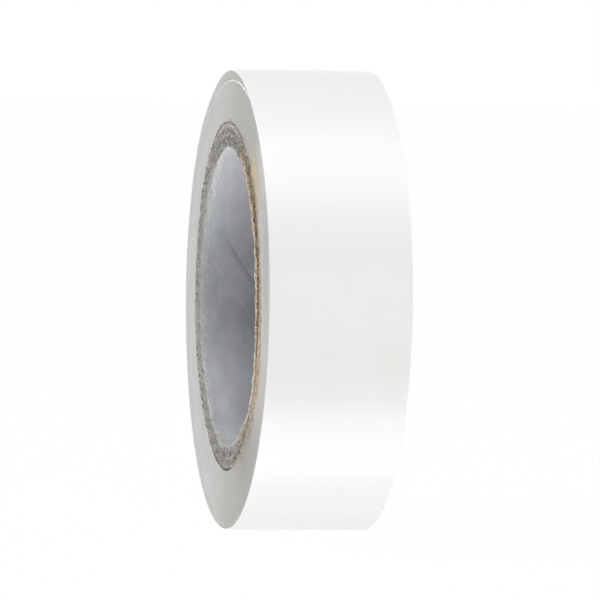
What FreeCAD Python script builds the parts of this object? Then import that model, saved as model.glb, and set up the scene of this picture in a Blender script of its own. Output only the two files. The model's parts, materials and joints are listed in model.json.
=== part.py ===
"""Roll of 17.8 mm electrical tape on a spiral-wound paper core, standing on its edge.

Millimetres. The roll's axis lies along Y, the origin is on the axis at the middle of the width,
and +Z is up. The core is a paper tube of seven plies, each one strip wound as a helix, so every
ply has one helical seam. The tape is one strip wound from the core outwards: its surface grows by
one thickness in each turn and steps down where the strip ends, on the -X side. It is wound a
little off-centre, so the core sits above its middle. Its laps are divided into the flush inner
laps, the outer laps that slipped sideways at the top, the last turn that lies on them, and the
free tail that peels off.
"""
import FreeCAD, Part
import math
import os
import Sketcher

SIZES = {
    "core_bore": 38.1,        # diameter of the hole through the core
    "liner_wall": 0.3,        # smooth paper that lines the bore
    "ply_wall": 0.52,         # each ply of grey board
    "cover_wall": 0.3,        # smooth paper under the first lap
    "seam_lead": 84.0,        # advance along the axis of a seam in one turn
    "seam_gap": 0.4,          # width of a seam along the axis
    "seam_depth": 0.12,       # depth of the liner's seam, which doesn't go through
    "seam_angle": 185.0,      # degrees at which the liner's seam crosses mid-width
    "seam_stagger": 67.0,     # degrees from the seam of one ply to that of the next
    "tape_width": 17.8,       # of the strip, and of the core, which is slit with it
    "tape_wall": 0.125,       # film and adhesive together
    "core_rise": 0.45,        # how far the core sits above the middle of the winding
    "flush_build": 5.675,     # radial build of the laps that lie flush, at their mean
    "slipped_build": 1.25,    # radial build of the laps that slipped
    "side_slip": 0.2,         # how far the slipped laps stand over to +Y at the top
    "slip_reach": 9.3,        # how far down from the top of the roll the slip reaches
    "tail_length": 14.0,      # free end of the strip
    "tail_gap": 0.03,         # under the tail and at its root
    "overcut": 0.5,           # how far a cutting profile reaches past what it cuts
}
PLIES = 5                     # plies of board between the liner and the cover

doc = FreeCAD.newDocument("tape_roll")
sheet = doc.addObject("Spreadsheet::Sheet", "sizes")
for row, (alias, number) in enumerate(SIZES.items(), start=1):
    sheet.set(f"A{row}", alias)
    sheet.set(f"B{row}", str(number))
    sheet.setAlias(f"B{row}", alias)
doc.recompute()

ORIGIN = FreeCAD.Vector(0, 0, 0)
NORMAL = FreeCAD.Vector(0, 0, 1)
TURN_AXIS = FreeCAD.Vector(0, -1, 0)  # turns from +X towards +Z
START, END, CENTRE = range(1, 4)      # the points of a line or an arc in a sketch
ORIGIN_POINT = (-1, START)            # the start of a sketch's own x axis
Y_AXIS = ORIGIN_POINT[0] - 1          # its y axis comes next in its numbering

# Radii as expressions on the sheet. Those of the winding hold for its lower half.
BORE_RADIUS = "sizes.core_bore / 2"
BOARD_RADIUS = f"({BORE_RADIUS} + sizes.liner_wall)"
COVER_RADIUS = f"({BOARD_RADIUS} + {PLIES} * sizes.ply_wall)"
CORE_RADIUS = f"({COVER_RADIUS} + sizes.cover_wall)"
FLUSH_RADIUS = f"({CORE_RADIUS} + sizes.flush_build)"
LAST_RADIUS = f"({FLUSH_RADIUS} + sizes.slipped_build)"
ROLL_RADIUS = f"({LAST_RADIUS} + sizes.tape_wall)"
DEGREES_PER_MM = f"180 / (pi * {ROLL_RADIUS})"
ROOT_ANGLE = f"(180 - sizes.tail_length * {DEGREES_PER_MM})"


def value(expression):
    """The number that an expression on the sheet gives."""
    return float(sheet.evalExpression(expression))


def new_body(label):
    """An empty body for one node."""
    body = doc.addObject("PartDesign::Body", label)
    body.Label = label
    return body


def new_sketch(body, name, role):
    """A sketch on one of the body's own origin planes."""
    sketch = body.newObject("Sketcher::SketchObject", f"{body.Label}_{name}")
    plane = next(f for f in body.Origin.OriginFeatures if f.Role == role)
    sketch.AttachmentSupport = [(plane, "")]
    sketch.MapMode = "FlatFace"
    return sketch


def bind(sketch, kind, *places, size):
    """Add a constraint whose size is an expression on the sheet."""
    number = value(size)
    if kind == "Angle":
        number = math.radians(number)
    index = sketch.addConstraint(Sketcher.Constraint(kind, *places, number))
    sketch.setExpression(f"Constraints[{index}]", size)


def join(sketch, first, second):
    """Hold two points together, each given as its geometry and its place on it."""
    sketch.addConstraint(Sketcher.Constraint("Coincident", *first, *second))


def on_axis(sketch, geometry, point):
    """Keep a point on the sketch's x axis."""
    x_axis, _ = ORIGIN_POINT
    sketch.addConstraint(Sketcher.Constraint("PointOnObject", geometry, point, x_axis))


def add_line(sketch, first, second):
    """A line that closes an outline between two points of other geometry."""
    ends = [sketch.getPoint(*point) for point in (first, second)]
    line = sketch.addGeometry(Part.LineSegment(*ends))
    join(sketch, (line, START), first)
    join(sketch, (line, END), second)


def add_circle(sketch, radius, rise=None):
    """A circle about the sketch's origin, or about a point above it."""
    centre = FreeCAD.Vector(0, value(rise), 0) if rise else ORIGIN
    circle = sketch.addGeometry(Part.Circle(centre, NORMAL, value(radius)))
    if rise:
        sketch.addConstraint(Sketcher.Constraint("PointOnObject", circle, CENTRE, Y_AXIS))
        bind(sketch, "DistanceY", *ORIGIN_POINT, circle, CENTRE, size=rise)
    else:
        join(sketch, (circle, CENTRE), ORIGIN_POINT)
    bind(sketch, "Radius", circle, size=radius)


def add_polygon(sketch, corners):
    """A closed outline through corners, each a pair of expressions for x and y."""
    points = [FreeCAD.Vector(value(x), value(y), 0) for x, y in corners]
    ahead = points[1:] + points[:1]
    lines = [sketch.addGeometry(Part.LineSegment(*ends)) for ends in zip(points, ahead)]
    for line, after, (x, y) in zip(lines, lines[1:] + lines[:1], corners):
        join(sketch, (line, END), (after, START))
        bind(sketch, "DistanceX", *ORIGIN_POINT, line, START, size=x)
        bind(sketch, "DistanceY", *ORIGIN_POINT, line, START, size=y)


def add_lower_arc(sketch, radius):
    """The lower half of a lap, half a circle about the winding's middle, from -X to +X."""
    circle = Part.Circle(ORIGIN, NORMAL, value(radius))
    arc = sketch.addGeometry(Part.ArcOfCircle(circle, math.pi, 2 * math.pi))
    join(sketch, (arc, CENTRE), ORIGIN_POINT)
    bind(sketch, "Radius", arc, size=radius)
    on_axis(sketch, arc, START)
    on_axis(sketch, arc, END)
    return arc


def add_upper_arc(sketch, radius, start="0", end="180"):
    """The upper half of a lap whose lower half has this radius, from +X to -X. Its centre lies
    half a thickness towards -X, so that it starts where the lower half ends and has grown by
    one thickness at -X. What it joins, or a Radius constraint, gives its radius."""
    half = value("sizes.tape_wall / 2")
    circle = Part.Circle(FreeCAD.Vector(-half, 0, 0), NORMAL, value(radius) + half)
    angles = [math.radians(value(angle)) for angle in (start, end)]
    arc = sketch.addGeometry(Part.ArcOfCircle(circle, *angles))
    on_axis(sketch, arc, CENTRE)
    bind(sketch, "DistanceX", arc, CENTRE, *ORIGIN_POINT, size="sizes.tape_wall / 2")
    return arc


def hold_root(sketch, arc, point, angle):
    """Keep an arc's end on the line from its centre at an angle from +X."""
    centre, end = sketch.getPoint(arc, CENTRE), sketch.getPoint(arc, point)
    line = sketch.addGeometry(Part.LineSegment(centre, end), True)
    join(sketch, (line, START), (arc, CENTRE))
    join(sketch, (line, END), (arc, point))
    bind(sketch, "Angle", *ORIGIN_POINT, line, START, size=angle)


def add_lap_outline(sketch, radius):
    """The closed outline of wound laps: a lower half, an upper half with a corner at the root
    of the tail, so that the last turn lies on it facet to facet, and the strip's step."""
    lower = add_lower_arc(sketch, radius)
    front = add_upper_arc(sketch, radius, end=ROOT_ANGLE)
    join(sketch, (front, START), (lower, END))
    hold_root(sketch, front, END, ROOT_ANGLE)
    back = add_upper_arc(sketch, radius, start=ROOT_ANGLE)
    join(sketch, (back, START), (front, END))
    on_axis(sketch, back, END)
    add_line(sketch, (back, END), (lower, START))


def pad(body, sketch, length):
    """Extrude a sketch to both sides of mid-width."""
    feature = body.newObject("PartDesign::Pad", f"{body.Label}_pad")
    feature.Profile = sketch
    feature.Midplane = True
    feature.Refine = False
    feature.setExpression("Length", length)


def slip_sides(body):
    """Cut both sides of a padded winding to where the slipped laps lie: flush with the others
    up to slip_reach below the top of the roll, and from there slanting to one side_slip towards
    +Y at the top. The cutting outlines go on along that slant to one overcut above it."""
    height = f"({ROLL_RADIUS} + sizes.overcut)"
    slant = "sizes.side_slip * (1 + sizes.overcut / sizes.slip_reach)"
    reach = "(sizes.tape_width / 2 + 2 * sizes.side_slip + sizes.overcut)"
    for name, side in (("near", "-"), ("far", "")):
        wall = f"{side}sizes.tape_width / 2"
        sketch = new_sketch(body, name, "YZ_Plane")
        add_polygon(sketch, [(f"{side}{reach}", f"-{height}"),
                             (wall, f"-{height}"),
                             (wall, f"{ROLL_RADIUS} - sizes.slip_reach"),
                             (f"{wall} + {slant}", height),
                             (f"{side}{reach}", height)])
        pocket = body.newObject("PartDesign::Pocket", f"{body.Label}_{name}_side")
        pocket.Profile = sketch
        pocket.Midplane = True
        pocket.Refine = False
        pocket.setExpression("Length", f"2 * {height}")


def hang_winding(body):
    """Lower wound laps so that their middle is one core_rise below the bore's axis."""
    body.setExpression("Placement.Base.z", "-sizes.core_rise")


def cut_seam(body, low, high):
    """Cut a helical seam between two radii, from beyond one end of the tube to beyond the other.
    It starts at the body's own +X and turns towards +Z as it goes along +Y."""
    foot = "-sizes.tape_width / 2 - sizes.overcut"
    sketch = new_sketch(body, "seam_profile", "XY_Plane")
    add_polygon(sketch, [(low, foot), (high, foot),
                         (high, f"{foot} + sizes.seam_gap"), (low, f"{foot} + sizes.seam_gap")])
    seam = body.newObject("PartDesign::SubtractiveHelix", f"{body.Label}_seam")
    seam.Profile = sketch
    seam.ReferenceAxis = (sketch, ["V_Axis"])
    seam.Mode = "pitch-height-angle"
    seam.LeftHanded = True
    seam.setExpression("Pitch", "sizes.seam_lead")
    seam.setExpression("Height", "sizes.tape_width + 2 * sizes.overcut")


def core_ply(label, place, low, high, seam_low, seam_high):
    """One ply of the core: a tube with a helical seam, turned about the roll's axis so that the
    seams of the plies are staggered."""
    body = new_body(label)
    ring = new_sketch(body, "ring", "XZ_Plane")
    add_circle(ring, low)
    add_circle(ring, high)
    pad(body, ring, "sizes.tape_width")
    cut_seam(body, seam_low, seam_high)
    body.Placement = FreeCAD.Placement(ORIGIN, FreeCAD.Rotation(TURN_AXIS, 1))
    body.setExpression("Placement.Rotation.Angle",
                       f"sizes.seam_angle + {place} * sizes.seam_stagger"
                       " - 360 * (sizes.tape_width / 2 + sizes.overcut) / sizes.seam_lead")
    return body


def core():
    """The paper tube: a liner whose seam is only a step in its face, five plies of board and a
    cover. They are glued to each other face to face."""
    below, above = "- sizes.overcut", "+ sizes.overcut"
    plies = [core_ply("core_liner", 0, BORE_RADIUS, BOARD_RADIUS,
                      f"{BORE_RADIUS} {below}", f"{BORE_RADIUS} + sizes.seam_depth")]
    for place in range(1, PLIES + 1):
        low = f"({BOARD_RADIUS} + {place - 1} * sizes.ply_wall)"
        high = f"({BOARD_RADIUS} + {place} * sizes.ply_wall)"
        plies.append(core_ply(f"core_ply_{place}", place, low, high,
                              f"{low} {below}", f"{high} {above}"))
    plies.append(core_ply("core_cover", PLIES + 1, COVER_RADIUS, CORE_RADIUS,
                          f"{COVER_RADIUS} {below}", f"{CORE_RADIUS} {above}"))
    return plies


def inner_laps():
    """The laps that lie flush, from the core out. Their inside is the core's round, which sits
    one core_rise higher than their outside, the strip's spiral."""
    body = new_body("inner_laps")
    sketch = new_sketch(body, "laps", "XZ_Plane")
    add_circle(sketch, CORE_RADIUS, "sizes.core_rise")
    add_lap_outline(sketch, FLUSH_RADIUS)
    pad(body, sketch, "sizes.tape_width")
    hang_winding(body)
    return body


def slipped_laps():
    """The outer laps, which slipped sideways on the others when the strip was last pressed
    down. Both of their sides lean over at the top."""
    body = new_body("slipped_laps")
    sketch = new_sketch(body, "laps", "XZ_Plane")
    add_lap_outline(sketch, FLUSH_RADIUS)
    add_lap_outline(sketch, LAST_RADIUS)
    pad(body, sketch, "sizes.tape_width + 4 * sizes.side_slip")
    slip_sides(body)
    hang_winding(body)
    return body


def outer_turn():
    """The last turn, one thickness of strip from the step on the -X side, under the roll and
    over it, to the root of the free tail."""
    body = new_body("outer_turn")
    sketch = new_sketch(body, "turn", "XZ_Plane")
    ends = []
    for radius in (LAST_RADIUS, ROLL_RADIUS):
        lower = add_lower_arc(sketch, radius)
        upper = add_upper_arc(sketch, radius, end=ROOT_ANGLE)
        join(sketch, (upper, START), (lower, END))
        hold_root(sketch, upper, END, ROOT_ANGLE)
        ends.append((lower, upper))
    (inner_start, inner_root), (outer_start, outer_root) = ends
    add_line(sketch, (inner_start, START), (outer_start, START))
    add_line(sketch, (inner_root, END), (outer_root, END))
    pad(body, sketch, "sizes.tape_width + 4 * sizes.side_slip")
    slip_sides(body)
    hang_winding(body)
    return body


def tail():
    """The strip's free end, which lies on the laps with a small gap under it and at its root."""
    body = new_body("tail")
    sketch = new_sketch(body, "strip", "XZ_Plane")
    root = f"({ROOT_ANGLE} + sizes.tail_gap * {DEGREES_PER_MM})"
    arcs = []
    for radius in (f"({LAST_RADIUS} + sizes.tail_gap)", f"({ROLL_RADIUS} + sizes.tail_gap)"):
        arc = add_upper_arc(sketch, radius, start=root)
        bind(sketch, "Radius", arc, size=f"{radius} + sizes.tape_wall / 2")
        hold_root(sketch, arc, START, root)
        on_axis(sketch, arc, END)
        arcs.append(arc)
    inner, outer = arcs
    add_line(sketch, (inner, START), (outer, START))
    add_line(sketch, (inner, END), (outer, END))
    pad(body, sketch, "sizes.tape_width + 4 * sizes.side_slip")
    slip_sides(body)
    hang_winding(body)
    return body


nodes = core() + [inner_laps(), slipped_laps(), outer_turn(), tail()]
doc.recompute()

for thing in doc.Objects:
    if "Invalid" in thing.State or "Error" in thing.State:
        raise RuntimeError(f"{thing.Label} failed: {thing.State}")
for node in nodes:
    if node.Shape.isNull() or not node.Shape.isValid() or len(node.Shape.Solids) != 1:
        raise RuntimeError(f"{node.Label} has no single valid solid")

os.makedirs("parts", exist_ok=True)
for node in nodes:
    node.Shape.exportStep(f"parts/{node.Label}.step")
    print(f"{node.Label}: {node.Shape.Volume:.1f} mm3")
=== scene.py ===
"""The looks of a roll of white electrical tape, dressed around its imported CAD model.

Lengths are in millimetres here and become metres where a mesh is made. Angles are in degrees
about the roll's axis, from +X towards +Z, and across is the place along that axis, +Y.
"""
import json
import math

import bpy
import numpy as np
from mathutils import Matrix, Vector


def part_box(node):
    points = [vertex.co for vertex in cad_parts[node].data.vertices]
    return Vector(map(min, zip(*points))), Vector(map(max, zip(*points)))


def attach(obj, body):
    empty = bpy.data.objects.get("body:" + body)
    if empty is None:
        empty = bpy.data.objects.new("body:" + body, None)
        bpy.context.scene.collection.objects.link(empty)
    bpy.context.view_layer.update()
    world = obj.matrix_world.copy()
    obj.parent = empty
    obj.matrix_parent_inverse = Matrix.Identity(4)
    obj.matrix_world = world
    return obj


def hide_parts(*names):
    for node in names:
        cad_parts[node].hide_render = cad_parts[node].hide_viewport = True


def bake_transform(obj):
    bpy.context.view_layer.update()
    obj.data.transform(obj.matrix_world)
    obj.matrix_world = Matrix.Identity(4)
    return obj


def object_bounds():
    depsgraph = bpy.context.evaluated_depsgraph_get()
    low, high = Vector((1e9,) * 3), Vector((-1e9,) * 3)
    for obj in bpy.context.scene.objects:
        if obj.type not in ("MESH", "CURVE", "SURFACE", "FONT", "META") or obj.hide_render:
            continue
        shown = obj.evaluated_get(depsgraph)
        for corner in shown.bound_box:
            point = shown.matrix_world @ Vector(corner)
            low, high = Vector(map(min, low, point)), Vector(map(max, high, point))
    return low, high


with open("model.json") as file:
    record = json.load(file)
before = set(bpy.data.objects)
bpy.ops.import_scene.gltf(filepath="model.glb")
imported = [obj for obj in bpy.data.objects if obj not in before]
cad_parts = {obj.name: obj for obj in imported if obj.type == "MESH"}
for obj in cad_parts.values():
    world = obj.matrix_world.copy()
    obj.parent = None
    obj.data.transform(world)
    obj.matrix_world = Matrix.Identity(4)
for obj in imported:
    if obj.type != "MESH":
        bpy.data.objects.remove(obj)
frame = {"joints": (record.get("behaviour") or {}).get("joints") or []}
cad_box = [list(corner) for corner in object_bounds()]


# --- Camera and studio ------------------------------------------------------------------------
# A long lens, nearly level with the axis and almost in line with the tape's face. The roll stands
# on a white table. Panels above it and under the table show as gloss on the film, and four fills
# light its near side from above and from below, its tread on the +X side and its far side.

MM = 0.001            # in metres
AZIMUTH, ELEVATION, TILT = 78.577, 3.0, 1.133           # of the camera
CAMERA_DISTANCE, CAMERA_SHIFT = 620.0, (0.691, -0.395)  # the shift is to its right and up
PANEL_LENGTH, FILL_DISTANCE = 900, 700
AMBIENT = 0.27        # brightness of the room, at which one is white
TABLE_GLOW = 0.985    # share of its own light in what is seen of the table
TABLE_REACH = 9       # metres from its middle to its sides


def aim(azimuth, elevation, tilt=0.0):
    """Axes of what looks at the origin from an azimuth, which is 0 at -Y and 90 at +X, and an
    elevation: X to its right, Y up and Z back towards it, turned about Z by the tilt."""
    turn, rise = math.radians(azimuth), math.radians(elevation)
    right = Vector((math.cos(turn), math.sin(turn), 0))
    back = Vector((math.sin(turn) * math.cos(rise), -math.cos(turn) * math.cos(rise),
                   math.sin(rise)))
    axes = Matrix((right, back.cross(right), back)).transposed()
    return axes @ Matrix.Rotation(math.radians(tilt), 3, "Z")


def stand(thing, axes, shift):
    """Put a lamp or camera on its own axes, shifted along them by millimetres."""
    piece = bpy.data.objects.new(thing.name, thing)
    piece.matrix_world = Matrix.Translation(axes @ Vector(shift) * MM) @ axes.to_4x4()
    bpy.context.scene.collection.objects.link(piece)
    return piece


def panel(name, azimuth, low, high, distance, length, brightness, gloss):
    """A lit panel that faces the roll and spans its elevations from low to high. Its energy is
    four times its area times its brightness, at which one is white. Gloss panels show only as
    reflections, and the others only light the surfaces."""
    width = 2 * distance * math.tan(math.radians(high - low) / 2)
    light = bpy.data.lights.new(name, "AREA")
    light.shape, light.size, light.size_y = "RECTANGLE", length * MM, width * MM
    light.energy = 4 * light.size * light.size_y * brightness
    lamp = stand(light, aim(azimuth, (low + high) / 2), (0, 0, distance))
    lamp.visible_diffuse, lamp.visible_glossy = not gloss, gloss


class Wire:
    """A socket of a node tree. Arithmetic on it adds Math nodes."""

    def __init__(self, nodes, socket):
        self.nodes, self.socket = nodes, socket

    def math(self, operation, *values):
        """The result of one Math node."""
        return self.nodes.add("Math", {"operation": operation}, *values)

    def __add__(self, other):
        return self.math("ADD", self, other)

    def __radd__(self, other):
        return self.math("ADD", other, self)

    def __sub__(self, other):
        return self.math("SUBTRACT", self, other)

    def __rsub__(self, other):
        return self.math("SUBTRACT", other, self)

    def __mul__(self, other):
        return self.math("MULTIPLY", self, other)

    def __truediv__(self, other):
        return self.math("DIVIDE", self, other)

    def __pow__(self, other):
        return self.math("POWER", self, other)

    def __abs__(self):
        return self.math("ABSOLUTE", self)

    def over(self, low, high):
        """0 below low, 1 above high and a straight ramp between them."""
        return self.nodes.add("MapRange", {"clamp": True}, self, low, high, 0.0, 1.0)


class Nodes:
    """A node tree, and the one way in which nodes are added to it."""

    def __init__(self, tree):
        self.tree = tree
        tree.nodes.clear()

    def add(self, kind, settings, *values, output=0, **named):
        """Add a node: its settings first, then values or wires for its sockets, in order or by
        name. Return one of its outputs."""
        node = self.tree.nodes.new("ShaderNode" + kind)
        for key, value in settings.items():
            setattr(node, key, value)
        sockets = [socket for socket in node.inputs if socket.enabled]
        pairs = list(zip(sockets, values))
        pairs += [(node.inputs[key.replace("_", " ")], value) for key, value in named.items()]
        for socket, value in pairs:
            if isinstance(value, Wire):
                self.tree.links.new(value.socket, socket)
            elif socket.type == "RGBA":
                socket.default_value = (*value, 1)
            else:
                socket.default_value = value
        return Wire(self, node.outputs[output]) if node.outputs else None

    def looked_at(self):
        """1 for what the camera, a gloss or a glass looks at, and 0 for light on its way."""
        rays = self.add("LightPath", {}).socket.node.outputs
        camera, gloss, glass = (Wire(self, rays[f"Is {kind} Ray"])
                                for kind in ("Camera", "Glossy", "Transmission"))
        return (camera + gloss + glass).over(0.0, 1.0)


lens = bpy.data.cameras.new("camera")
lens.lens, lens.sensor_width = 291.6, 36.0
lens.clip_start, lens.clip_end = 0.05, 5.0
view = aim(AZIMUTH, ELEVATION, TILT)
bpy.context.scene.camera = stand(lens, view, (*CAMERA_SHIFT, CAMERA_DISTANCE))
bpy.context.scene.view_settings.view_transform = "Standard"

world = bpy.data.worlds.new("studio")
world.use_nodes = True
bpy.context.scene.world = world
sky = Nodes(world.node_tree)
room = sky.add("Background", {}, (AMBIENT, AMBIENT, AMBIENT), 1.0)
backdrop = sky.add("Background", {}, (1, 1, 1), 1.0)
sky.add("OutputWorld", {}, sky.add("MixShader", {}, sky.looked_at(), room, backdrop))

for low, high, brightness in ((48, 92, 1.2), (30, 110, 0.15)):
    panel(f"upper_panel_{low}", 90, low, high, 500, PANEL_LENGTH, brightness, gloss=True)
for low, high, brightness in ((-92, -50, 1.45), (-108, -50, 0.12), (-128, -50, 0.2)):
    panel(f"lower_panel_{-low}", 90, low, high, 330, PANEL_LENGTH, brightness, gloss=True)
for name, azimuth, low, high, length, brightness in (("upper_fill", 0, 33, 85, 650, 2.45),
                                                     ("lower_fill", 0, -85, -33, 650, 2.3),
                                                     ("front_fill", 99, -18, 18, 190, 8.4),
                                                     ("back_fill", 180, -12, 12, 250, 10.0)):
    panel(name, azimuth, low, high, FILL_DISTANCE, length, brightness, gloss=False)

table_finish = bpy.data.materials.new("table")
table_finish.use_nodes = True
table = Nodes(table_finish.node_tree)
matt = table.add("BsdfDiffuse", {}, (0.95, 0.95, 0.95), 0.0)
glow = table.add("Emission", {}, (1, 1, 1), 1.0)
table.add("OutputMaterial", {},
          table.add("MixShader", {}, table.looked_at() * TABLE_GLOW, matt, glow))
plate = bpy.data.meshes.new("table")
floor_z = cad_box[0][2]
plate.from_pydata([(x * TABLE_REACH, y * TABLE_REACH, floor_z)
                   for x, y in ((-1, -1), (1, -1), (1, 1), (-1, 1))], [], [(0, 1, 2, 3)])
plate.materials.append(table_finish)
floor = bpy.data.objects.new("table", plate)
floor.visible_glossy = floor.visible_diffuse = floor.visible_shadow = False
bpy.context.scene.collection.objects.link(floor)


# --- Core liner -------------------------------------------------------------------------------
# Smooth blue-grey paper that lines the bore, one strip wound as a helix whose edge laps over the
# turn before it. The slitting knife dragged over its rims and left them pale and flaky.

HALF_WIDTH = 8.9      # of the tape and of the core that is slit with it
SEAM_LEAD = 84.0      # advance along the axis of a seam in one turn
SEAM_ANGLE = 183.8    # of the liner's seam at the middle of the width
SEAM_STAGGER = 67.0   # from one ply's seam to the next ply's
LINER = 0.3           # thickness of the paper
LAP_STEP = 0.1        # by which the edge that laps over stands up
LAP_ANGLE = 16.2      # from the edge on top to the mark of the edge under it
LAP_EASE = 45         # beyond the mark, until the paper is back at the bore's own radius
LAP_MARK = 0.04       # height of the mark
CURL, DENT = 0.035, 0.02              # deviations of the lips and of the whole paper from round
FRAY = 0.05           # deviation of the rims from flat
CUT_EDGE = 8.7        # place across beyond which the paper's own cut edge shows
SETBACK = 0.16        # of the core's cut ends behind the tape's, at the middle of their height
BAY = 0.34            # by which they stand back further in a shallow bay on the +X side
rng = np.random.default_rng(41)


def radius_of(node, drop=0.0):
    """A node's outer radius, from its lowest point and how far its middle lies below the bore's
    axis. The tape's growing radius is smallest there."""
    return -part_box(node)[0].z / MM - drop


liner_outer, core_radius = radius_of("core_liner"), radius_of("core_cover")


def mottle(rows, columns, row_blur, column_blur):
    """Random heights that repeat at the grid's edges: white noise times a Gaussian in the
    frequency plane, which blurs it over that many cells, scaled to a deviation of one."""
    waves = np.fft.fft2(rng.standard_normal((rows, columns)))
    waves *= np.exp(-2 * (math.pi * row_blur * np.fft.fftfreq(rows)[:, None]) ** 2)
    waves *= np.exp(-2 * (math.pi * column_blur * np.fft.fftfreq(columns)[None, :]) ** 2)
    heights = np.fft.ifft2(waves).real
    return heights / heights.std()


def smooth(value):
    """Three times the square less twice the cube of a value held between 0 and 1."""
    value = np.clip(value, 0, 1)
    return value * value * (3 - 2 * value)


def place(radius, angle, across):
    """Points at a radius and an angle about the axis, and at a place across the width."""
    radius, angle, across = np.broadcast_arrays(radius, np.radians(angle), across)
    return np.stack([radius * np.cos(angle), across, radius * np.sin(angle)], -1)


def quads(index):
    """Faces between the neighbouring rows and columns of a grid of vertex numbers."""
    corners = [index[:-1, :-1], index[:-1, 1:], index[1:, 1:], index[1:, :-1]]
    return np.stack(corners, -1).reshape(-1, 4)


def wall(angle, across, inner, outer, closed=True):
    """A wall round the axis, with a row for each angle: its outer side from the first place
    across to the last, then its inner side back. An open wall gets its two ends."""
    shape = outer.shape
    angle, across, inner = (np.broadcast_to(part, shape) for part in (angle, across, inner))
    angle, across, radius = (np.hstack([there, back[:, ::-1]]) for there, back in
                             ((angle, angle), (across, across), (outer, inner)))
    points = place(radius, angle, across)
    index = np.arange(radius.size).reshape(radius.shape)
    faces = [quads(np.pad(index, ((0, int(closed)), (0, 1)), mode="wrap"))]
    if not closed:
        columns = shape[1]
        there, back = index[:, :columns], index[:, :columns - 1:-1]
        faces += [quads(np.stack([back[0], there[0]])), quads(np.stack([there[-1], back[-1]]))]
    return points.reshape(-1, 3), np.concatenate(faces)


def build(name, points, faces, finishes, node, slot, body="roll", zones=None, **marks):
    """One piece from points in millimetres and four-cornered faces. It replaces a CAD node and
    rides on a body. Zones give each face's place among the finishes, and marks are numbers that
    its vertices carry to them."""
    mesh = bpy.data.meshes.new(name)
    mesh.vertices.add(len(points))
    mesh.vertices.foreach_set("co", (points * MM).astype(np.float32).ravel())
    mesh.loops.add(faces.size)
    mesh.loops.foreach_set("vertex_index", faces.astype(np.int32).ravel())
    mesh.polygons.add(len(faces))
    mesh.polygons.foreach_set("loop_start", np.arange(0, faces.size, 4, dtype=np.int32))
    for finish in finishes:
        mesh.materials.append(finish.material)
    if zones is not None:
        mesh.polygons.foreach_set("material_index", zones.astype(np.int32))
    for mark, numbers in marks.items():
        carried = mesh.attributes.new(mark, "FLOAT", "POINT")
        carried.data.foreach_set("value", numbers.astype(np.float32).ravel())
    mesh.update(calc_edges=True)
    mesh.shade_smooth()
    mesh.set_sharp_from_angle(angle=math.radians(38))
    piece = bpy.data.objects.new(name, mesh)
    bpy.context.scene.collection.objects.link(piece)
    if body:
        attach(piece, body)
    if node:
        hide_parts(node)
    return piece


class Finish(Nodes):
    """A material with one Principled shader, whose sockets' constants come with its name."""

    def __init__(self, name, **constants):
        self.material = bpy.data.materials.new(name)
        self.material.use_nodes = True
        super().__init__(self.material.node_tree)
        self.shader = self.add("BsdfPrincipled", {}, **constants).socket.node
        self.add("OutputMaterial", {}, Wire(self, self.shader.outputs[0]))
        self.spot = self.add("TexCoord", {}, output="Object")
        x, across, z = (Wire(self, part) / MM for part in
                        self.add("SeparateXYZ", {}, self.spot).socket.node.outputs)
        self.x, self.across, self.z = x, across, z
        self.radius = (x * x + z * z) ** 0.5
        self.east, self.up = x / self.radius, z / self.radius

    def mark(self, name):
        """The number that the mesh's vertices carry under a name."""
        return self.add("Attribute", {"attribute_name": name}, output="Fac")

    def noise(self, scale, detail=2.0, rough=0.5, where=None):
        """Soft noise from 0 to 1 about a half, at a number of waves to the unit of the place it
        is read at, which is a metre on the object if no other place is given."""
        return self.add("TexNoise", {}, Vector=where or self.spot, Scale=scale, Detail=detail,
                        Roughness=rough)

    def vector(self, x, y, z=0.0):
        """Three numbers as one place or colour."""
        return self.add("CombineXYZ", {}, x, y, z)

    def mix(self, share, first, second):
        """A colour between two others, with this share of the second."""
        return self.add("Mix", {"data_type": "RGBA"}, share, first, second, output=2)

    def shade(self, colour, grey):
        """A colour times a grey number."""
        return self.add("Mix", {"data_type": "RGBA", "blend_type": "MULTIPLY"}, 1.0, colour,
                        self.vector(grey, grey, grey), output=2)

    def patch(self, x, z, wide, high, fade=0.5):
        """1 in an oval patch at a place on the roll's side, falling to 0 over its rim. Noise
        makes the rim uneven."""
        away = (((self.x - x) / wide) ** 2 + ((self.z - z) / high) ** 2) ** 0.5
        return 1 - (away + self.noise(900, 3) - 0.5).over(1 - fade, 1 + fade)

    def colour(self, wire):
        """Make a wire the base colour."""
        self.tree.links.new(wire.socket, self.shader.inputs["Base Color"])

    def relief(self, height, depth):
        """Bump, whose heights of 0 to 1 are that many millimetres apart."""
        bump = self.add("Bump", {}, Strength=1.0, Distance=depth * MM, Height=height)
        self.tree.links.new(bump.socket, self.shader.inputs["Normal"])


def set_back(points):
    """Narrow the core a little: its cut ends are flush with the tape at the top of the core and
    stand back by twice the setback at its bottom. A bell over the distance from a place on its
    lower +X side adds the shallow bay."""
    x, _, z = points.T / core_radius
    bay = BAY * np.exp(-((x - 0.74) / 0.3) ** 2 - ((z + 0.55) / 0.3) ** 2)
    points[:, 1] *= 1 - (SETBACK * (1 - z) + bay) / HALF_WIDTH
    return points


def seam_angle(ply, across):
    """Where a ply's helical seam crosses a place across the width."""
    return SEAM_ANGLE + SEAM_STAGGER * ply + 360 * across / SEAM_LEAD


def board_colour(finish, dark, pale):
    """Speckles of crushed board: dark fibres with some pale ones between them. They are fainter
    on the -X side, and a little darker at the top and at the bottom of the core."""
    where = finish.vector(finish.x * 1.9, finish.across * 4, finish.z * 4.2)
    speckle = finish.noise(1.0, 2, 0.7, where) + finish.noise(800, 2) * 0.35
    calm = (0 - finish.east).over(0.3, 0.9) * 0.38 + 0.02
    board = finish.mix(speckle.over(0.6 - calm, 0.78 + calm), dark, pale)
    return finish.shade(board, 1 - abs(finish.up).over(0.5, 0.95) * 0.1)


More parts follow.
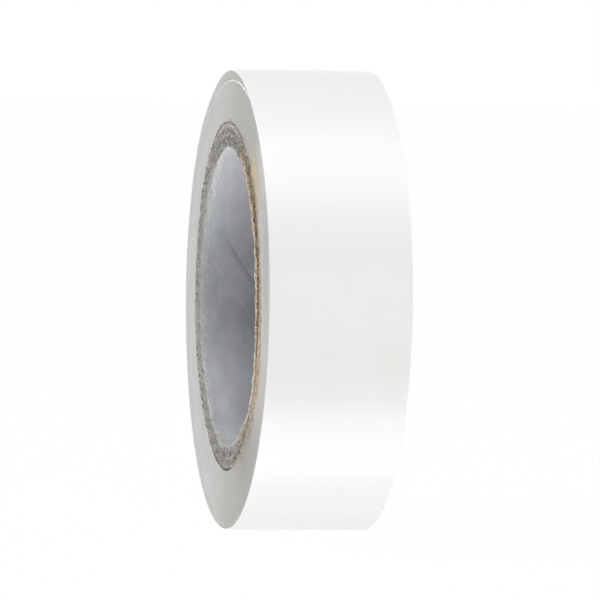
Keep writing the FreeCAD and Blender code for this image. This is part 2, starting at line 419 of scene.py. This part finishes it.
def browned(finish):
    """How brown the board is: it took up dirt and glue on the +X side."""
    return (finish.east + (finish.noise(500, 2) - 0.5) * 1.2).over(0.3, 0.8)


liner_paper = Finish("liner_paper", Roughness=0.5, IOR=1.45)
past = liner_paper.mark("past_seam")
turned = past + liner_paper.across * (360 / SEAM_LEAD)
off_middle = abs(liner_paper.across)


def liner_noise(round_rate, across_rate, shift=0.0):
    """Soft noise from 0 to 1, at a number of waves to the degree and to the millimetre."""
    where = liner_paper.vector(turned * round_rate, liner_paper.across * across_rate, shift)
    return liner_paper.noise(1.0, 3.0, 0.55, where)


clouds, smudges = liner_noise(0.08, 0.55), liner_noise(0.3, 1.3, shift=5.0)
strokes, flakes = liner_noise(0.45, 4.5, shift=4.0), liner_noise(0.55, 3.0, shift=2.0)
ragged = liner_paper.noise(2600, 3, 0.6)
paper = liner_paper.mix(liner_noise(0.05, 0.3, shift=9.0).over(0.35, 0.65), (0.517, 0.545, 0.565),
                        (0.54, 0.531, 0.565))
paper = liner_paper.mix(smudges.over(0.5, 0.72) * 0.6, paper, (0.50, 0.525, 0.51))

# Painted shadow under the edge on top and painted shade beyond it, a painted highlight along the
# mark of the edge under it, painted shade at the bottom, and a paler band on the -X side at the
# axis's height.
seam_shadow = past.over(-0.5, 0.3) * (1 - (past + ragged * 3 - 1.5).over(0.4, 5.0))
seam_shadow = seam_shadow * (1 - off_middle.over(5.4, 7.2))
shade_past_seam = past.over(0.0, 1.5) * (1 - past.over(9, 22)) * (1 - off_middle.over(1.5, 5.2))
shade_past_seam = shade_past_seam * clouds.over(0.35, 0.6)
ridge_highlight = (1 - abs(past - LAP_ANGLE).over(0.15, 0.75)) * (smudges + 0.1).over(0.35, 0.6)
shaded_bottom = (0 - liner_paper.up).over(0.5, 1.0)
paler_band = liner_paper.patch(-19.0, 0.8, 9.0, 2.5) * (1 - off_middle.over(3.8, 6.5))
# Painted shade: the paper darkens from the rims towards the middle of the bore, where less light
# reaches, and painted light makes its upper half paler.
tone = (0.48 + off_middle * 0.068) * (0.66 + clouds * 0.54 + smudges * 0.14)
tone = tone * (0.95 + strokes * 0.1) * (1 + liner_paper.up.over(-0.1, 0.3) * 0.13)
tone = tone * (1 - seam_shadow * 0.19) * (1 - shade_past_seam * 0.11) * (1 + ridge_highlight * 0.15) * (1 + paler_band * 0.3)
# Painted shade: the paper is darker at the bottom of the bore, and more so near its rims.
tone = tone * (1 - shaded_bottom * (0.38 - off_middle * 0.02))
tone = tone * (1 - shaded_bottom * off_middle.over(7.4, 8.6) * 0.26)
paper = liner_paper.shade(paper, tone)

# The scuffed lip, and the paper's own cut edge.
scuffed = liner_paper.mix((flakes + ragged * 0.3).over(0.5, 0.85), (0.64, 0.645, 0.65),
                          (0.80, 0.80, 0.79))
scuffed = liner_paper.mix((flakes * 0.4 + strokes + ragged * 0.4).over(0.98, 1.2) * 0.7, scuffed,
                          (0.42, 0.41, 0.39))
lip_start = 8.15 - liner_paper.up.over(-0.3, 0.5) * 0.35
lip = (off_middle + flakes * 1.4 + smudges * 1.2 - 1.3 - lip_start).over(-0.25, 0.35)
paper = liner_paper.mix(lip * (0.85 - shaded_bottom * 0.6), paper, scuffed)
cut = (off_middle + ragged * 0.16 - 0.08).over(CUT_EDGE - 0.04, CUT_EDGE + 0.04)
cut_paper = board_colour(liner_paper, (0.13, 0.125, 0.115), (0.42, 0.41, 0.39))
cut_paper = liner_paper.mix((0 - liner_paper.east).over(0.3, 0.8) * 0.8, cut_paper,
                            (0.55, 0.55, 0.545))
brown_paper = board_colour(liner_paper, (0.50, 0.40, 0.34), (0.86, 0.74, 0.65))
cut_paper = liner_paper.mix(browned(liner_paper), cut_paper, brown_paper)
liner_paper.colour(liner_paper.mix(cut, paper, cut_paper))
liner_paper.relief(ragged * 0.15 + lip * flakes * 1.2 + strokes * 0.1, 0.1)

# A row for every 0.6 degrees past the seam's edge on top, with more of them at the two edges, and
# columns across the width that lie closer together towards the rims. The first row is the edge on
# top, and the second lies at its foot.
near_edges = [0.08, LAP_ANGLE - 1.1, LAP_ANGLE - 0.7, LAP_ANGLE - 0.5, LAP_ANGLE - 0.1, 359.9]
past_seam = np.sort(np.r_[np.arange(0, 360, 0.6), near_edges])
recess = LAP_STEP * (1 - smooth((past_seam - LAP_ANGLE) / LAP_EASE))
recess -= LAP_MARK * np.exp(-((past_seam - LAP_ANGLE) / 0.4) ** 2)
recess[0] = 0
rim = np.arange(10) * np.arange(1, 11) / 100
across = np.r_[rim - HALF_WIDTH, np.linspace(-7.7, 7.7, 46), HALF_WIDTH - rim[::-1]][None, :]
bore = liner_outer - LINER
curl = mottle(past_seam.size, across.size, 1.6, 1.2) * smooth((np.abs(across) - 7.6) / 0.9)
dents = mottle(past_seam.size, across.size, 7, 3)
inner = bore + recess[:, None] + CURL * curl + DENT * dents
outer = np.full(inner.shape, liner_outer)
outer[:, [0, -1]] = inner[:, [0, -1]] + LINER / 2
frayed = FRAY * mottle(past_seam.size, 2, 1.5, 0.1)
fray = np.repeat(frayed, across.size // 2, axis=1) * smooth((np.abs(across) - 8.2) / 0.6)
angle = past_seam[:, None] + seam_angle(0, across)
points, faces = wall(angle, across + fray, inner, outer)
build("liner", set_back(points), faces, [liner_paper], "core_liner", "liner_paper",
      past_seam=np.repeat(past_seam, 2 * across.size))


# --- Core plies -------------------------------------------------------------------------------
# Five plies of grey board and a cover of thin paper, each one strip wound as a helix and glued to
# the ply inside it. Slitting left their ends rough and speckled, and each has a gap at its seam.

TEAR = 0.07           # deviation of the torn cut ends from flat
NOTCH = 1.2           # depth of the gap at a seam's end
# The dark and the pale speckles of each ply, from the bore outwards: where the board is clean, and
# where it is browned.
# The cover's dark grey, last in the list, is partly its own and partly painted shade where the core
# stands back from the laps.
GREYS = [((0.28, 0.27, 0.255), (0.62, 0.605, 0.58)), ((0.20, 0.19, 0.177), (0.50, 0.48, 0.452)),
         ((0.28, 0.268, 0.25), (0.62, 0.60, 0.57)), ((0.20, 0.19, 0.175), (0.50, 0.48, 0.45)),
         ((0.26, 0.25, 0.233), (0.68, 0.66, 0.63)), ((0.145, 0.138, 0.127), (0.42, 0.405, 0.382))]
BROWNS = [((0.57, 0.44, 0.36), (0.95, 0.79, 0.675)), ((0.40, 0.305, 0.222), (0.77, 0.62, 0.475)),
          ((0.145, 0.112, 0.07), (0.45, 0.37, 0.25)), ((0.115, 0.088, 0.052), (0.39, 0.315, 0.205)),
          ((0.135, 0.105, 0.062), (0.45, 0.365, 0.24)),
          ((0.175, 0.138, 0.085), (0.51, 0.415, 0.285))]
# The grid has five columns on each cut end and one between them. This is how far each lies from
# the middle of the ply's wall, as a share of half the wall.
COLUMNS = np.array([0.12, 0.36, 0.6, 0.82, 1.0, 1.0, 1.0, 0.82, 0.6, 0.36, 0.12])

ply_inner = liner_outer
for ply, (grey, brown) in enumerate(zip(GREYS, BROWNS), start=1):
    node = "core_cover" if ply == len(GREYS) else f"core_ply_{ply}"
    board = Finish(node.replace("core_", "board_"), Roughness=0.9, IOR=1.4)
    speckles = board.mix(browned(board), board_colour(board, *grey), board_colour(board, *brown))
    # At the top of the core the outer plies are paler and the inner ones darker.
    board.colour(board.shade(speckles, 1 + board.up.over(0.8, 0.97) * (0.11 * (ply - 3))))
    board.relief(board.noise(5000, 2), 0.08)

    ply_outer = radius_of(node)
    middle, spread = (ply_outer + ply_inner) / 2, COLUMNS * (ply_outer - ply_inner) / 2
    angle = np.arange(0, 360, 0.3)[:, None]
    across = np.r_[np.full(5, -HALF_WIDTH), 0, np.full(5, HALF_WIDTH)][None, :]
    rough = TEAR * mottle(angle.size, across.size, 1.0, 0.7)
    rough[:, 5] = 0
    off_seam = np.abs(((angle - seam_angle(ply, across) + 180) % 360) - 180)
    notch = NOTCH * smooth((1.1 - off_seam) * 3) * (np.abs(across) > 1)
    across = across - np.sign(across) * (notch + rough)
    points, faces = wall(angle, across, middle - spread + 0 * angle, middle + spread + 0 * angle)
    build(node.replace("core_", ""), set_back(points), faces, [board], node, "core_board")
    ply_inner = ply_outer


# --- Core fibres ------------------------------------------------------------------------------
# Paper fibres that the slitting knife pulled out of the board's cut ends. It came up through the
# core, so they lean upwards, over the laps above the core and into the bore below it.

# On each end of the core: loose fibres, a fringe along the edge that they lean over, and stiff
# burrs in tufts on the +X side.
FIBRES, FRINGE, BURRS, TUFTS = 900, 700, 700, 60
FOOT_DEPTH = 0.17     # of their roots behind the tape's cut edge
THREAD, BURR = 0.045, 0.08            # radii at the root, of loose fibres and of burrs
fibre_paper = Finish("fibre_paper", Roughness=0.9, IOR=1.4)
paleness = fibre_paper.noise(900, 2).over(0.38, 0.62)
fibre_paper.colour(fibre_paper.mix(
    browned(fibre_paper), fibre_paper.mix(paleness, (0.32, 0.31, 0.29), (0.74, 0.73, 0.70)),
    fibre_paper.mix(paleness, (0.12, 0.105, 0.075), (0.46, 0.40, 0.31))))

# Each fibre is a straight path from its root, with a ring of three points at four places on it.
RINGS, SIDES = 4, 3
along = np.linspace(0, 1, RINGS)[None, :, None, None]
turn = np.radians([0, 120, 240])[None, None, :, None]
ring = np.concatenate([np.cos(turn), np.sin(turn), 0.6 * np.sin(turn + 1)], -1)
fringe = slice(FIBRES, FIBRES + FRINGE)
strands = []
for side in (-1, 1):
    tufts = rng.normal(0, 38, TUFTS)
    angle = np.r_[rng.uniform(0, 360, FIBRES + FRINGE),
                  rng.choice(tufts, BURRS) + rng.normal(0, 2.5, BURRS)]
    count = angle.size
    stiff = np.arange(count) >= FIBRES + FRINGE
    share = rng.random(count)
    near_edge = 0.12 * share[fringe]
    share[fringe] = np.where(np.sin(np.radians(angle[fringe])) < 0, near_edge, 1 - near_edge)
    radius = bore + 0.1 + (core_radius - bore - 0.12) * share
    foot = set_back(place(radius, angle, side * (HALF_WIDTH - FOOT_DEPTH)))
    lean = np.stack([rng.normal(0, 0.5, count), side * rng.uniform(0.12, 0.5, count),
                     rng.normal(0.75, 0.45, count)], -1)
    lean *= np.where(stiff[:, None], [0.5, 1.6, 0.5], 1.0)
    reach = np.where(stiff, rng.uniform(0.1, 0.42, count), rng.uniform(0.15, 0.75, count))
    lean *= (reach / np.linalg.norm(lean, axis=1))[:, None]
    path = foot[:, None, None] + lean[:, None, None] * along
    thick = np.where(stiff, BURR, THREAD)[:, None, None, None]
    strands.append(path + ring * thick * (1 - 0.85 * along))
points = np.concatenate(strands).reshape(-1, RINGS * SIDES, 3)
index = np.pad(np.arange(RINGS * SIDES).reshape(RINGS, SIDES), ((0, 0), (0, 1)), mode="wrap")
faces = quads(index) + RINGS * SIDES * np.arange(len(points))[:, None, None]
build("core_fibres", points.reshape(-1, 3), faces.reshape(-1, 4), [fibre_paper], None,
      "core_board")


# --- Tape laps --------------------------------------------------------------------------------
# White PVC film with adhesive on its inner side, one strip wound tightly and a little off-centre
# on the core. The inner laps lie flush, and each one's cut edge shows as a fine line.

TAPE = 0.125          # thickness of the film with its adhesive
CORE_RISE = 0.45      # of the core above the middle of the winding
EDGE_DIP, EDGE_REACH = 0.14, 2.6      # by which the near edge is pressed in, and over what width
GROOVE, CREST = 0.031, 0.012          # how far the grooves and the crests stand back from the face
WOBBLE = 0.008        # deviation of the crests
CREASE_FROM, CREASE_TO = 118, 55      # angles at which the crease has faded out
CREASE_SLOPE, CREASE_BEND = 0.03, 0.0008                # outwards a degree, and for its square
CREASE_HEIGHT, CREASE_RISE = 0.05, 0.14                 # at -X, and by how much more at +X
CREASE_HALF = 0.1     # half of its width
flush_radius = radius_of("inner_laps", CORE_RISE)


def lap_radius(radius, angle):
    """Radius of a lap that has the given radius under the axis: it grows by half the tape's
    thickness times one less the cosine over the upper half, and steps down at 180 degrees."""
    angle = np.asarray(angle) % 360
    rise = np.where((angle > 0) & (angle <= 180), 1 - np.cos(np.radians(angle)), 0)
    return radius + TAPE / 2 * rise


def pressed(radius, across):
    """How much nearer to the axis the outer laps lie at their near edge, which is pressed in: by
    the square of the place within the edge's reach for the outermost laps, and by less for those
    inside them."""
    edge = np.clip((-across - HALF_WIDTH + EDGE_REACH) / EDGE_REACH, 0, 1)
    return EDGE_DIP * edge ** 2 * smooth((radius - flush_radius + 2) / 3)


def hang(points, radius):
    """Lower the laps: by nothing at the core's own radius, and in proportion to their build up
    to the whole of the core's rise where the inner laps end."""
    share = np.clip((radius - core_radius) / (flush_radius - core_radius), 0, 1)
    points[..., 2] -= CORE_RISE * share
    return points


# The film's face: an almost even white, with a yellowed spot near its far edge on the +X side.
film = Finish("tape_film", Roughness=0.26, IOR=1.52)
film_colour = film.mix(film.noise(260, 3), (0.79, 0.79, 0.785), (0.81, 0.81, 0.805))
off_stain = (((film.across - 6.6) / 1.8) ** 2 + ((film.z + 6.0) / 3.2) ** 2) ** 0.5
yellowed = (1 - (off_stain + film.noise(600, 3) - 0.5).over(0.4, 1.3)) * film.x.over(-1, 1)
film.colour(film.mix(yellowed * 0.7, film_colour, (0.775, 0.77, 0.745)))

# The laps' sides: fine rings that follow each lap's own radius, broad clouds, and painted shade on
# the
# +X side above and below the axis. Two patches are darker and one is paler.
laps = Finish("lap_edges", Roughness=0.6, IOR=1.5, Specular_IOR_Level=0.1)
raised = laps.z + (laps.radius - core_radius).over(0.0, flush_radius - core_radius) * CORE_RISE
lap = (laps.x * laps.x + raised * raised) ** 0.5
rings = laps.noise(1.0, 3, 0.5, laps.vector(laps.east * 5, lap * 5, laps.up * 5))
broad = laps.noise(1.0, 2, 0.5, laps.vector(laps.east * 1.6, lap * 0.5, laps.up * 1.6))
side_colour = laps.mix(broad.over(0.3, 0.7), (0.56, 0.555, 0.545), (0.615, 0.61, 0.598))
painted_side_shade = (laps.x + broad * 6 - 3).over(-9, 4) * abs(laps.z).over(7, 17)
side_colour = laps.mix(painted_side_shade, side_colour, (0.508, 0.498, 0.482))
side_tone = 0.97 + rings * 0.06
# Painted shade: the sides are a little darker on the +X side, easing off towards its outer edge.
side_tone = side_tone * (1 - laps.x.over(-3, 7) * (1 - laps.x.over(17, 24)) * 0.08)
for x, z, wide, high, fade, change in ((17.0, -18.0, 7.0, 8.5, 0.5, -0.1),
                                       (25.6, 4.5, 2.0, 6.5, 0.5, -0.16),
                                       (23.5, 19.5, 3.6, 4.6, 0.6, 0.26)):
    side_tone = side_tone * (1 + laps.patch(x, z, wide, high, fade) * change)
side_colour = laps.shade(side_colour, side_tone)

# Glue stains on the near side beside the core, and board dirt that rubbed off on it.
near_side = (0 - laps.across).over(0, 1)
beside_core = (1 - (laps.radius - core_radius).over(1.5, 5.5)) * near_side
for x, z, wide, high, strength, stain in ((23.8, -6.5, 3.6, 9.0, 0.75, (0.69, 0.62, 0.50)),
                                          (18.0, 15.4, 3.4, 3.6, 0.95, (0.58, 0.50, 0.345)),
                                          (21.4, -8.6, 2.6, 3.0, 0.8, (0.50, 0.38, 0.29)),
                                          (13.6, -19.2, 4.4, 2.8, 0.8, (0.38, 0.365, 0.335))):
    stained = laps.patch(x, z, wide, high, 0.6) * beside_core * strength
    side_colour = laps.mix(stained, side_colour, stain)
lower = (0 - laps.z).over(-6, 8) * laps.z.over(-21, -14)
smear = laps.radius + laps.noise(1300, 3) * 2.4 - 1.2 - core_radius - lower * 1.3
rubbed = (1 - smear.over(0.5, 1.5)) * browned(laps) * near_side * 0.8
side_colour = laps.mix(rubbed, side_colour,
                       board_colour(laps, (0.19, 0.165, 0.12), (0.55, 0.49, 0.39)))
laps.colour(laps.mix(laps.mark("bared"), side_colour, (0.84, 0.84, 0.83)))


# How high the crease is round the roll, from one ragged place to the next.
ragged_edge = np.clip(0.75 + 0.55 * mottle(1, 900, 0.1, 0.9)[0], 0.05, 1.8)


def crease(radius, angle):
    """How far laps stand out of the near face along a ragged crease over the top of the roll. It
    crosses from deeper laps on the -X side to the outermost on the +X side, by so much a degree
    and by the square of the degrees past the top. Its height is a bell over the distance from
    it, times a ragged number, fades at both of its ends and is greater on the +X side."""
    angle = np.asarray(angle) % 360
    past_top = np.clip(90 - angle, 0, 40)
    middle = flush_radius + CREASE_SLOPE * (90 - angle) + CREASE_BEND * past_top ** 2
    fade = smooth((CREASE_FROM - angle) / 12) * smooth((angle - CREASE_TO) / 16)
    ragged = np.interp(angle, np.linspace(0, 360, ragged_edge.size), ragged_edge)
    height = CREASE_HEIGHT + CREASE_RISE * smooth((92 - angle) / 12)
    return height * ragged * fade * np.exp(-((radius - middle) / CREASE_HALF) ** 2)


def winding(name, node, inside, outside, steps, slip):
    """Laps between two radii. A groove runs along the spiral between each lap and the next, at
    the lap radius that grows by one thickness in a turn, and a crest runs half-way between one
    groove and the next. Both sides are made so, with the inner and outer faces of the laps and
    the strip's ends between them. The slip moves the points sideways. Where the crease lifts the
    laps, their near side is bared."""
    count = math.ceil((outside - inside) / TAPE - 0.01)
    groove = np.arange((count + 1) * steps + 1)
    turn, angle = groove // steps, 180 + 360 * (groove % steps) / steps
    angle[-1], turn[-1] = 540, count
    radius = lap_radius(outside - TAPE * (count - turn), angle)
    radius = np.maximum(radius, inside)
    crest = slice(0, count * steps + 1)
    crest_radius = (radius[crest] + radius[steps:]) / 2
    crests = crest_radius.size
    wobble = WOBBLE * mottle(1, crests, 1, steps / 16)[0]
    proud, crest_proud = crease(radius, angle), crease(crest_radius, angle[crest])
    sides = []
    for side, lift in ((-1, 1), (1, 0)):
        sunk = side * (HALF_WIDTH - GROOVE + lift * proud)
        reach = side * (HALF_WIDTH - CREST + wobble + lift * crest_proud)
        for edge, turned, across in ((radius, angle, sunk), (crest_radius, angle[crest], reach)):
            sides.append(hang(place(edge - pressed(edge, across), turned, across), edge))
    points = np.concatenate(sides)
    bared = smooth(np.r_[proud, crest_proud, 0 * proud, 0 * crest_proud] / CREASE_HEIGHT)
    points[:, 1] += slip(points)
    near, near_crest = groove, groove.size + np.arange(crests)
    far, far_crest = near + groove.size + crests, near_crest + groove.size + crests
    low, high, top = slice(0, crests), slice(steps, None), slice(count * steps, None)
    faces = [quads(np.stack(pair)) for pair in (
        (near[low], near_crest), (near_crest, near[high]),
        (far_crest, far[low]), (far[high], far_crest),
        (far[:steps + 1], near[:steps + 1]))]
    faces.append(quads(np.stack((near[top], far[top]))))
    faces.append(np.array([
        [near[0], near_crest[0], far_crest[0], far[0]],
        [near_crest[0], near[steps], far[steps], far_crest[0]],
        [near[count * steps], far[count * steps], far_crest[-1], near_crest[-1]],
        [near_crest[-1], far_crest[-1], far[-1], near[-1]]]))
    zones = np.repeat([0, 0, 0, 0, 1, 1, 1], [len(part) for part in faces])
    return build(name, points, np.concatenate(faces), [laps, film], node, "tape_laps",
                 zones=zones, bared=bared)


winding("winding", "inner_laps", core_radius, flush_radius, steps=440, slip=lambda points: 0)


# --- Slipped laps -----------------------------------------------------------------------------
# The last ten laps of the same strip. They slid sideways together at the top of the roll, so they
# stand back from the face there and the lap under them shows as a pale ledge.

SIDE_SLIP, SLIP_REACH = 0.13, 9.3     # sideways, and down from the top of the roll
SLIP_SKEW = 0.013     # more sideways for each millimetre towards -X
last_radius = radius_of("slipped_laps", CORE_RISE)
roll_radius = radius_of("outer_turn", CORE_RISE)


def slipped(points):
    """How far the outer laps lie towards +Y: all of the slip at the top of the roll, easing off
    to none over the slip's reach. They slid askew, so it is more on the -X side."""
    share = smooth((points[:, 2] + CORE_RISE - roll_radius + SLIP_REACH) / SLIP_REACH)
    return (SIDE_SLIP - SLIP_SKEW * points[:, 0]) * share


winding("slipped_winding", "slipped_laps", flush_radius, last_radius, steps=720, slip=slipped)


# --- Outer turn -------------------------------------------------------------------------------
# The strip's last whole turn, with its smooth, slightly shiny face outwards. Winding tension left
# it faintly wavy, and its slit edges are a little rounded.

ROOT_ANGLE = 152.62   # at which the free end begins
EDGE_ROUND = 0.05     # width of the rounded slit edges
WAVES, WAVE_HEIGHT = 28, 0.002
# Columns across the film, four of them close to each slit edge. Its thickness there follows a
# quarter of an ellipse.
margin = np.array([0, 0.012, 0.04, 0.09])
section = np.r_[margin, np.linspace(0.5, 17.3, 40), 2 * HALF_WIDTH - margin[::-1]] - HALF_WIDTH
inward = np.clip((HALF_WIDTH - np.abs(section)) / EDGE_ROUND, 0.03, 1)
half_thick = TAPE / 2 * np.sqrt(1 - (1 - inward) ** 2)
waves = rng.normal(size=(WAVES, 4))


def swell(angle, across):
    """The face's faint waves: a sum of cosines with whole numbers of waves in a turn."""
    height = 0
    for size, phase, rate, count in waves:
        whole = np.round(6 * count)
        height = height + WAVE_HEIGHT * size * np.cos(np.radians(angle) * whole + 3 * phase
                                                      + 0.35 * rate * across)
    return height


def film_strip(name, node, body, angle, inside):
    """A length of the strip on a lap's outer surface: its two faces lie half a thickness to
    each side of its middle, and less at the rounded edges. What begins at 180 degrees begins at
    the foot of the step there."""
    angle = angle[:, None]
    middle = lap_radius(inside, angle) + TAPE / 2
    if angle[0, 0] == 180:
        middle[0] = inside + TAPE / 2
    outer = middle + half_thick + swell(angle, section) * (half_thick == TAPE / 2)
    inner = middle - half_thick
    dip = pressed(roll_radius, section)
    points, faces = wall(angle, section, inner - dip, outer - dip, closed=False)
    points[:, 2] -= CORE_RISE
    points[:, 1] += slipped(points)
    return build(name, points, faces, [film], node, "tape_face", body)


film_strip("outer_film", "outer_turn", "roll", np.linspace(180, 360 + ROOT_ANGLE, 840), last_radius)


# --- Tail -------------------------------------------------------------------------------------
# The strip's free end, cut square. It lies on the laps and peels off from its root, where the
# film bends.

TAIL_GAP = 0.03       # between the free end and the lap under it
TAIL_EASE = 9         # degrees from the root, where the gap is closed, to its full width
round_tail = np.linspace(ROOT_ANGLE, 180, 110)
gap = TAIL_GAP * smooth((round_tail[:, None] - ROOT_ANGLE) / TAIL_EASE)
tail = film_strip("tail_film", "tail", None, round_tail, last_radius + gap)

# From the root, the film runs straight on along itself, which leads downwards there.
peel = next(joint for joint in frame["joints"] if joint["name"] == "tail_peel")
root = Vector(peel["pos_m"])
onwards = Vector((root.z, 0, -root.x)).normalized()
onwards = onwards if onwards.z < 0 else -onwards
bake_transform(tail)
